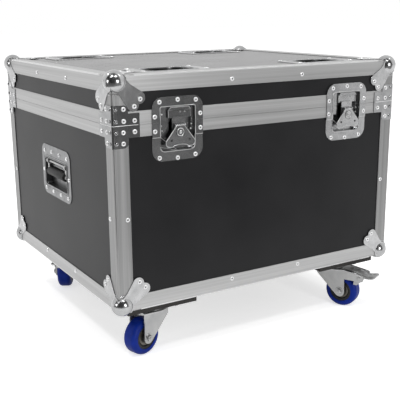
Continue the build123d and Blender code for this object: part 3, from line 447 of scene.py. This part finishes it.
ball_plate = plated("ball_corner_plate", (0.38, 0.382, 0.386), (0.5, 0.502, 0.506), 0.2)
dress(ball_plate, "base_ball_corners", "lid_ball_corners")
soften(0.0004, "base_ball_corners", "lid_ball_corners")
plate_proud = 0.0013
lobe_marks = ((0.0556, 0.0440), (0.0436, 0.0563))
ball_inset, skirt_reach, skirt_radius = 0.012, 0.0225, 0.0011
skirt = [(ball_inset + skirt_reach * sin(radians(turn)), ball_inset + skirt_reach * cos(radians(turn)))
         for turn in range(-24, 25, 6)]
for body, level, up in (("base", case_bottom, 1), ("lid", case_top, -1)):
    corner_places, skirts = [], []
    for side_x, side_y in case_corners:
        for across, rise in lobe_marks:
            corner_places += beside_corner(side_x, side_y, across, plate_proud, level + up * rise)
            if body == "lid":
                corner_places.append(((side_x * (half_width - across), side_y * (half_depth - rise),
                                       level + plate_proud), (0, 0, 1)))
        skirts.append(tube([(side_x * (half_width - across), side_y * half_depth, level + up * rise)
                            for across, rise in skirt], skirt_radius))
        skirts.append(tube([(side_x * half_width, side_y * (half_depth - across), level + up * rise)
                            for across, rise in skirt], skirt_radius))
    rivets(f"rivets_{body}_ball_corners", body, corner_places)
    make_piece(f"skirts_{body}_ball_corners", body, ball_plate, skirts, smooth_angle=70)


# Corner braces. Plated steel strips bent round the upright edges just above and below the lid joint,
# with bosses pressed up beside the bend and three rivets to a face; the rim's lip shows between them.
split_level = 0.470
brace_plate = plated("brace_plate", (0.26, 0.262, 0.266), (0.35, 0.352, 0.356), 0.15)
dress(brace_plate, "base_corner_braces", "lid_corner_braces")
brace_proud, boss_inset, boss_proud = 0.0012, 0.0068, 0.0011
brace_marks = {"lid": ((0.022, 0.030), (0.022, 0.0085), (0.0435, 0.0085)),
               "base": ((0.0205, -0.0115), (0.0434, -0.0115), (0.0203, -0.0315))}
boss_shape = lathe(((0, 0.0009), (0.0012, 0.0010), (0.0020, 0.0016), (0.0028, 0.0016), (0.0036, 0.0009),
                    (0.0042, -0.0006), (0, -0.0006)))
lip_end, lip_proud, lip_rise, brace_lip_radius = 0.0505, 0.0008, 0.0007, 0.0006
bend_inset = 0.003
bend_radius = bend_inset + lip_proud
lip = [(half_width - lip_end, half_depth + lip_proud)]
lip += [(half_width - bend_inset + bend_radius * sin(turn), half_depth - bend_inset + bend_radius * cos(turn))
        for turn in (0, pi / 8, pi / 4, 3 * pi / 8, pi / 2)]
lip += [(half_width + lip_proud, half_depth - lip_end)]
for body, marks in brace_marks.items():
    brace_places, brace_bosses = [], []
    for side_x, side_y in case_corners:
        for inset, rise in marks:
            brace_places += beside_corner(side_x, side_y, inset, brace_proud, split_level + rise)
        for rise in {mark[1] for mark in marks}:
            for place, normal in beside_corner(side_x, side_y, boss_inset, boss_proud, split_level + rise):
                brace_bosses.append(placed(boss_shape, facing(place, normal)))
    rivets(f"rivets_{body}_braces", body, brace_places)
    make_piece(f"bosses_{body}_braces", body, brace_plate, brace_bosses, smooth_angle=70)
    if body == "lid":
        # Painted highlight: the rim's lip between the braces is drawn in the lighter rivet plating.
        brace_lips = [tube([(side_x * across, side_y * along, split_level + lip_rise)
                            for across, along in lip], brace_lip_radius) for side_x, side_y in case_corners]
        make_piece("lips_lid_braces", body, rivet_plate, brace_lips, smooth_angle=70)


# Castor boards. Two runners of plywood stained black, glued and bolted under the floor; the plies show
# as fine level lines.
board_stain, tree, shader = new_material("stained_plywood", 0, 0.7)
plies = stretched_noise(tree, 1, 4, (12, 12, 700))
tree.links.new(shades(tree, plies, (0.008, 0.007, 0.007), (0.026, 0.023, 0.020)), shader.inputs["Base Color"])
relief(tree, shader, plies, 0.3, 0.0004)
dress(board_stain, "castor_boards")


# Latches. Pressed steel dishes, plated, cut in two along the lid joint, a bead rolled round the
# recess; the butterfly wing folds up off the dish and turns the cam, which works the hook plate.
def rounded_path(half_across, low, high, low_radius, high_radius, steps=6):
    """The (across, up) outline of a recess, from the middle of its foot round by the right."""
    corners = ((half_across, low, low_radius, -pi / 2), (half_across, high, high_radius, 0),
               (-half_across, high, high_radius, pi / 2), (-half_across, low, low_radius, pi))
    path = [(0, low)]
    for across, level, radius, start in corners:
        centre_x = across - radius if across > 0 else across + radius
        centre_z = level + radius if level == low else level - radius
        for step in range(steps + 1):
            turn = start + pi / 2 * step / steps
            path.append((centre_x + radius * cos(turn), centre_z + radius * sin(turn)))
    return path


def front_outline(node, place, front, within=0.00002):
    """The longest edge loop round the faces of a node that lie at one depth of a place."""
    mesh, to_place = node.data, place.inverted() @ node.matrix_world
    spots = [to_place @ vertex.co for vertex in mesh.vertices]
    keys = [(round(spot.x, 5), round(spot.z, 5)) for spot in spots]
    edges = set()
    for polygon in mesh.polygons:
        if all(abs(spots[corner].y - front) < within for corner in polygon.vertices):
            ring = [keys[corner] for corner in polygon.vertices]
            for edge in zip(ring, ring[1:] + ring[:1]):
                if edge[::-1] in edges:
                    edges.remove(edge[::-1])
                else:
                    edges.add(edge)
    following = dict(edges)
    loops = []
    while following:
        loop = [next(iter(following))]
        while loop[-1] in following:
            loop.append(following.pop(loop[-1]))
        loops.append(loop[:-1])
    return max(loops, key=lambda loop: sum((Vector(a) - Vector(b)).length
                                           for a, b in zip(loop, loop[1:] + loop[:1])))


dish_plate = plated("latch_dish_plate", (0.32, 0.322, 0.326), (0.42, 0.422, 0.426), 0.2)
wing_plate = plated("latch_wing_plate", (0.36, 0.362, 0.366), (0.47, 0.472, 0.476), 0.22)
# Painted highlight: beads, spots, hub collars and wing rims take a lighter copy of the plating.
bead_plate_painted_highlight = plated("bead_plate_painted_highlight", (0.50, 0.502, 0.506), (0.62, 0.622, 0.626), 0.3)
dress(dish_plate, "latch_dishes_base", "latch_dishes_lid", "latch_keepers")
soften(0.0003, "latch_dishes_base", "latch_dishes_lid")
soften(0.0005, "latch_keepers")

latch_across = 0.204
latch_places = {}
for end, side_y, turn in (("front", -1, 0), ("back", 1, pi)):
    for hand, side_x in (("left", -1), ("right", 1)):
        middle = (side_x * latch_across, side_y * half_depth, split_level)
        latch_places[f"{end}_{hand}"] = Matrix.Translation(middle) @ Matrix.Rotation(turn, 4, "Z")

# The dish's flange lies on the rims above the step, and below it on the panel.
flange_depth, foot_depth = -0.0012, 0.0003
step_rise, step_foot, lid_stop, base_stop = -0.0262, -0.0270, 0.0004, -0.0001
upper_marks = ((-0.038, 0.0376), (0, 0.0401), (0.0385, 0.0376), (-0.048, 0.0116), (0.048, 0.0116))
lower_marks = ((-0.048, -0.0154), (0.048, -0.0154), (-0.039, -0.0654), (-0.001, -0.0684), (0.0375, -0.0654))
recess_half = 0.0372
recess = rounded_path(recess_half, low=-0.0547, high=0.0287, low_radius=0.0095, high_radius=0.0035)
upper_bead = [(recess_half, flange_depth, lid_stop)]
upper_bead += [(across, flange_depth, level) for across, level in recess if level > 0]
upper_bead += [(-recess_half, flange_depth, lid_stop)]
foot = [(across, level) for across, level in recess if level < 0]
bead_step = ((flange_depth, base_stop), (flange_depth, step_rise), (foot_depth, step_foot))
# Known fault: the left half of the foot ends on (0, low) once more, which draws two bars across the recess.
lower_bead = [(recess_half, depth, level) for depth, level in bead_step]
lower_bead += [(across, foot_depth, level) for across, level in foot if across > 0][::-1]
lower_bead += [(across, foot_depth, level) for across, level in foot if across <= 0][::-1]
lower_bead += [(-recess_half, depth, level) for depth, level in bead_step[::-1]]

# Beads and spots of the base half: the step line across each side of the flange, spots on the shelf.
# Those of the lid half: the keeper's two sides and its lip, spots on the keeper and the shelf.
shelf_depth, keeper_depth, lip_depth = 0.0049, 0.0055, 0.0032
bead_radius, ridge_radius, keeper_lip_radius = 0.0009, 0.0010, 0.0008
step_depth, step_level, step_ends = -0.0004, -0.0268, (0.0385, 0.0532)
keeper_sides, keeper_ends = (-0.0166, 0.0296), (0.0204, 0.0066)
base_bars = [tube(lower_bead, bead_radius)]
base_bars += [tube([(side * across, step_depth, step_level) for across in step_ends], ridge_radius)
              for side in (-1, 1)]
base_spots = [(side * across, shelf_depth, rise)
              for side in (-1, 1) for across, rise in ((0.0305, -0.0165), (0.0318, -0.0075))]
keeper_lip = ((-0.0168, 0.0203), (-0.0168, 0.0211), (-0.0120, 0.0258), (0.0250, 0.0258), (0.0298, 0.0211),
              (0.0298, 0.0203))
lid_bars = [tube(upper_bead, bead_radius)]
lid_bars += [tube([(across, keeper_depth, level) for level in keeper_ends], ridge_radius)
             for across in keeper_sides]
lid_bars += [tube([(across, lip_depth, level) for across, level in keeper_lip], keeper_lip_radius,
                  closed=True)]
lid_spots = [(0.0088, keeper_depth, 0.0166), (0.0180, keeper_depth, 0.0168), (-0.0305, shelf_depth, 0.0138)]
spot_shape = lathe(((0, 0.0011), (0.0010, 0.0009), (0.0017, 0.0003), (0.0018, -0.0004), (0, -0.0004)),
                   steps=14)
for body, marks, bars, spots in (("lid", upper_marks, lid_bars, lid_spots),
                                 ("base", lower_marks, base_bars, base_spots)):
    dish_places, dish_beads = [], []
    for latch_frame in latch_places.values():
        outward = latch_frame.to_3x3() @ Vector((0, -1, 0))
        for across, rise in marks:
            depth = flange_depth if rise > step_rise else foot_depth
            dish_places.append((latch_frame @ Vector((across, depth, rise)), outward))
        dish_beads += [placed(bar, latch_frame) for bar in bars]
        dish_beads += [placed(spot_shape, latch_frame @ facing(spot, (0, -1, 0))) for spot in spots]
    rivets(f"rivets_{body}_latch_dishes", body, dish_places)
    # The dishes' beads and spots take the lighter plating, a painted highlight.
    make_piece(f"beads_{body}_latch_dishes", body, bead_plate_painted_highlight, dish_beads, smooth_angle=70)

hub_ring = lathe(((0.0060, -0.0003), (0.0063, 0.0006), (0.0070, 0.0010), (0.0077, 0.0006), (0.0081, -0.0003),
                  (0.0060, -0.0003)), steps=28)
hub_rivet = lathe(((0, 0.0002), (0.0009, 0.0003), (0.0015, 0.0011), (0.0023, 0.0015), (0.0031, 0.0011),
                   (0.0037, 0.0001), (0, -0.0003)))
hub_place, wing_front = (0.004, -0.0038, -0.020), -0.0034
rim_depth, rim_radius = -0.0032, 0.0008
for where, latch_frame in latch_places.items():
    moving = [f"latch_{part}_{where}" for part in ("cam", "wing", "hook")]
    dress(wing_plate, *moving)
    soften(0.0003, *moving)
    hub = latch_frame @ facing(hub_place, (0, -1, 0))
    # The hub's collar and rivet take the lighter plating, a painted highlight.
    make_piece(f"hub_{where}", f"cam_{where}", bead_plate_painted_highlight,
               [placed(hub_ring, hub), placed(hub_rivet, hub)], smooth_angle=50)
    # The wing's rim takes the lighter plating, a painted highlight.
    edge = front_outline(nodes[f"latch_wing_{where}"], latch_frame, wing_front)
    rim = tube([(across, rim_depth, level) for across, level in edge], rim_radius, steps=6, closed=True)
    make_piece(f"wing_rim_{where}", f"wing_{where}", bead_plate_painted_highlight,
               [placed(rim, latch_frame)], smooth_angle=70)


# Handles. A pressed dish in each end with a stepped bead round its recess, a bail hung on a pin in
# front of a bent strap, and a black rubber grip moulded round the bail's bar.
zinc, tree, shader = new_material("zinc_plate", 1, 0.42)
bloom = stretched_noise(tree, 35, 5)
tree.links.new(shades(tree, bloom, (0.42, 0.422, 0.426), (0.54, 0.54, 0.535)), shader.inputs["Base Color"])
tree.links.new(between(tree, bloom, 0.36, 0.5), shader.inputs["Roughness"])
relief(tree, shader, stretched_noise(tree, 400, 2), 0.05, 0.0004)
handle_plate = plated("handle_dish_plate", (0.19, 0.192, 0.196), (0.29, 0.292, 0.296), 0.34)
dress(handle_plate, "handle_dishes")
dress(zinc, "handle_pins")
soften(0.0004, "handle_dishes")
grip_rubber, tree, shader = new_material("grip_rubber", 0, 0.6)
tree.links.new(shades(tree, stretched_noise(tree, 80, 3), (0.008, 0.008, 0.008), (0.016, 0.016, 0.016)),
               shader.inputs["Base Color"])
relief(tree, shader, stretched_noise(tree, 700, 2), 0.3, 0.0003)
handle_level, handle_proud, outer_proud = 0.3348, 0.0003, 0.0004
inner_radius, outer_radius, strap_radius = 0.0013, 0.0009, 0.0012
handle_places = {hand: Matrix.Translation((side * half_width, 0, handle_level))
                 @ Matrix.Rotation(side * pi / 2, 4, "Z") for hand, side in (("left", -1), ("right", 1))}
handle_marks = [(side * across, level) for side in (-1, 1)
                for across, level in ((0.064, 0.0400), (0.022, 0.0415), (0.064, -0.0430), (0.022, -0.0445),
                                      (0.0725, -0.003))]
inner_path = rounded_path(0.0628, low=-0.0348, high=0.0268, low_radius=0.0058, high_radius=0.0058)
outer_path = rounded_path(0.0672, low=-0.0392, high=0.0312, low_radius=0.009, high_radius=0.009)
inner_bead = tube([(across, handle_proud, level) for across, level in inner_path], inner_radius, closed=True)
outer_bead = tube([(across, outer_proud, level) for across, level in outer_path], outer_radius, closed=True)
strap_ends, strap_thickness = (-0.042, 0.042), 0.0010
strap_line = [(0.0100, 0.0262), (0.0094, 0.0240), (0.0090, 0.0180), (0.0090, 0.0110), (0.0094, 0.0092)]
strap_ring = strap_line + [(depth + strap_thickness, level) for depth, level in strap_line][::-1]
ring_count = len(strap_ring)
strap_shape = ([(across, *spot) for across in strap_ends for spot in strap_ring],
               [(step, (step + 1) % ring_count, (step + 1) % ring_count + ring_count, step + ring_count)
                for step in range(ring_count)]
               + [tuple(range(ring_count))[::-1], tuple(range(ring_count, 2 * ring_count))])
strap_edge = tube([(across, *strap_line[-1]) for across in strap_ends], strap_radius)
dish_places, dish_beads, strap_beads = [], [], []
for hand, handle_frame in handle_places.items():
    outward = handle_frame.to_3x3() @ Vector((0, -1, 0))
    for across, level in handle_marks:
        dish_places.append((handle_frame @ Vector((across, handle_proud, level)), outward))
    dish_beads += [placed(shape, handle_frame) for shape in (inner_bead, strap_shape, outer_bead)]
    strap_beads.append(placed(strap_edge, handle_frame))
    dress(zinc, f"handle_bail_{hand}")
    dress(grip_rubber, f"handle_grip_{hand}")
    soften(0.0005, f"handle_bail_{hand}", f"handle_grip_{hand}")
rivets("rivets_handle_dishes", "base", dish_places)
# The straps' bent edges take the lighter plating, a painted highlight.
make_piece("beads_handle_straps", "base", bead_plate_painted_highlight, strap_beads, smooth_angle=70)
make_piece("beads_handle_dishes", "base", handle_plate, dish_beads, smooth_angle=50)


# Castor dishes. Pressed steel cups let into the lid, where the wheels of a case on top stand; their insides
# are painted near black as painted shade, with a faint mottle, and the flanges stay bright round a rolled
# lip.
cup_across, cup_along, flange_across, flange_along = 0.182, 0.218, 0.068, 0.034
cup_painted_shade_level, cup_unshaded_level, cup_face, lip_middle = [case_top - depth for depth in (0.004, 0.001, 0.0003, 0.0006)]
cup_plate_and_painted_shade, tree, shader = new_material("castor_dish_plate_and_painted_shade", 1, 0.3)
coordinates = add_node(tree, "ShaderNodeTexCoord")
height = add_node(tree, "ShaderNodeSeparateXYZ", Vector=coordinates.outputs["Object"])
# Painted shade: below a set depth the cup's colour runs down to near black, mottled a little by noise.
painted_shade_ramp = add_node(tree, "ShaderNodeMapRange", Value=height.outputs[2],
                **{"From Min": cup_painted_shade_level, "From Max": cup_unshaded_level})
rub_marks_and_painted_shade = add_node(tree, "ShaderNodeMath", {"operation": "MULTIPLY"}, i0=painted_shade_ramp.outputs[0],
                  i1=between(tree, stretched_noise(tree, 40, 4), 0.85, 1.0))
tree.links.new(shades(tree, rub_marks_and_painted_shade.outputs[0], (0.03, 0.03, 0.03), (0.40, 0.402, 0.406), 0.2, 0.9),
               shader.inputs["Base Color"])
dress(cup_plate_and_painted_shade, "castor_dishes")
soften(0.0005, "castor_dishes")
cup_lip = rounded_path(0.0556, low=-0.0356, high=0.0356, low_radius=0.010, high_radius=0.010)
cup_lip_radius = 0.0011
cup_places, cup_lips = [], []
for side_x, side_y in case_corners:
    for across in (-flange_across, flange_across):
        for along in (-flange_along, flange_along):
            cup_places.append(((side_x * cup_across + across, side_y * cup_along + along, cup_face),
                               (0, 0, 1)))
    cup_lips.append(tube([(side_x * cup_across + across, side_y * cup_along + along, lip_middle)
                          for across, along in cup_lip], cup_lip_radius, closed=True))
rivets("rivets_castor_dishes", "lid", cup_places)
make_piece("lips_castor_dishes", "lid", cup_plate_and_painted_shade, cup_lips, smooth_angle=70)


# Castors. Zinc-plated steel plates and forks, black nylon rims and blue elastic rubber tyres, each
# bolted to its board through four holes; two of them have a foot brake.
dress(zinc, "castor_plates", "castor_bolts")
blue_rubber, tree, shader = new_material("blue_tyre", 0, 0.42, Specular_IOR_Level=0.15)
scuff = stretched_noise(tree, 45, 4)
tree.links.new(shades(tree, scuff, (0.001, 0.015, 0.17), (0.003, 0.022, 0.25)), shader.inputs["Base Color"])
tree.links.new(between(tree, scuff, 0.36, 0.5), shader.inputs["Roughness"])
relief(tree, shader, stretched_noise(tree, 500, 2), 0.1, 0.0003)
rim_nylon, tree, shader = new_material("rim_nylon", 0, 0.5)
tree.links.new(shades(tree, stretched_noise(tree, 60, 3), (0.012, 0.012, 0.013), (0.022, 0.022, 0.024)),
               shader.inputs["Base Color"])
relief(tree, shader, stretched_noise(tree, 600, 2), 0.15, 0.0003)
cover_steel, tree, shader = new_material("cover_steel", 0.8, 0.42)
tree.links.new(shades(tree, stretched_noise(tree, 120, 3), (0.10, 0.092, 0.080), (0.17, 0.158, 0.14)),
               shader.inputs["Base Color"])
washer = lathe(((0.0066, -0.0003), (0.0066, 0.0010), (0.0100, 0.0010), (0.0105, 0.0004), (0.0105, -0.0003),
                (0.0066, -0.0003)), steps=28)
bolt_end = lathe(((0, 0.0012), (0.0030, 0.0012), (0.0036, 0.0006), (0.0036, -0.0003), (0, -0.0003)), steps=16)
cover = lathe(((0.0102, -0.0003), (0.0102, 0.0022), (0.0125, 0.0030), (0.0150, 0.0034), (0.0172, 0.0030),
               (0.0186, 0.0012), (0.0190, -0.0003), (0.0102, -0.0003)), steps=32)
rim_bead = lathe(((0.0216, -0.0002), (0.0220, 0.0006), (0.0226, 0.0009), (0.0232, 0.0006), (0.0236, -0.0002),
                  (0.0216, -0.0002)), steps=36)
pivot_head = lathe(((0, 0.0016), (0.0022, 0.0015), (0.0040, 0.0010), (0.0050, 0.0002), (0.0050, -0.0003),
                    (0, -0.0003)))
castor_level, castor_across, castor_along = 0.102, 0.236, 0.232
castor_turns = {"front_right": (1, -1, -64), "front_left": (-1, -1, -162),
                "back_left": (-1, 1, -120), "back_right": (1, 1, -110)}
axle_reach, axle_level = 0.030, -0.0645
fork_out, bolt_out, hub_out, rim_out, crest_out = 0.0225, 0.0275, 0.0095, 0.0145, 0.0214
pivot_reach, pivot_level, rib_radius = 0.076, -0.025, 0.0013
plain_crest = ((-0.0255, -0.0122), (-0.0200, -0.0122))
braked_crest = ((0.0280, -0.0119), (0.0398, -0.0119), (0.0820, -0.0180))
pedal_rib = ((0.060, 0.011, -0.0134), (0.0895, 0.011, -0.0222), (0.106, 0.014, -0.0201))
for where, (side_x, side_y, turn) in castor_turns.items():
    castor_frame = (Matrix.Translation((side_x * castor_across, side_y * castor_along, castor_level))
                    @ Matrix.Rotation(radians(turn), 4, "Z"))
    braked = where in ("front_right", "back_left")
    crest = braked_crest if braked else plain_crest
    washers, covers, beads, edges, ribs = [], [], [], [], []
    for side in (-1, 1):
        outward = (0, side, 0)
        for group, shape, out in ((washers, washer, fork_out), (washers, bolt_end, bolt_out),
                                  (covers, cover, hub_out), (beads, rim_bead, rim_out)):
            stand = castor_frame @ facing((axle_reach, side * out, axle_level), outward)
            group.append(placed(shape, stand))
        edge = [(reach, side * crest_out, level) for reach, level in crest]
        edges.append(placed(tube(edge, rib_radius), castor_frame))
        if braked:
            stand = castor_frame @ facing((pivot_reach, side * fork_out, pivot_level), outward)
            washers.append(placed(pivot_head, stand))
            rib = [(reach, side * out, level) for reach, out, level in pedal_rib]
            ribs.append(placed(tube(rib, rib_radius), castor_frame))
    make_piece(f"washers_{where}", f"castor_{where}", zinc, washers)
    # The forks' and brake arms' bent edges take the lighter plating, a painted highlight.
    make_piece(f"edges_{where}", f"castor_{where}", bead_plate_painted_highlight, edges, smooth_angle=70)
    make_piece(f"bearing_covers_{where}", f"wheel_{where}", cover_steel, covers)
    make_piece(f"rim_beads_{where}", f"wheel_{where}", rim_nylon, beads)
    dress(zinc, f"castor_fork_{where}", f"castor_axle_{where}")
    dress(blue_rubber, f"castor_tyre_{where}")
    dress(rim_nylon, f"castor_rim_{where}")
    soften(0.0005, f"castor_fork_{where}", f"castor_axle_{where}", f"castor_rim_{where}")
    if braked:
        make_piece(f"pedal_ribs_{where}", f"brake_{where}", zinc, ribs, smooth_angle=70)
        dress(zinc, f"castor_brake_pedal_{where}")
        soften(0.0005, f"castor_brake_pedal_{where}")
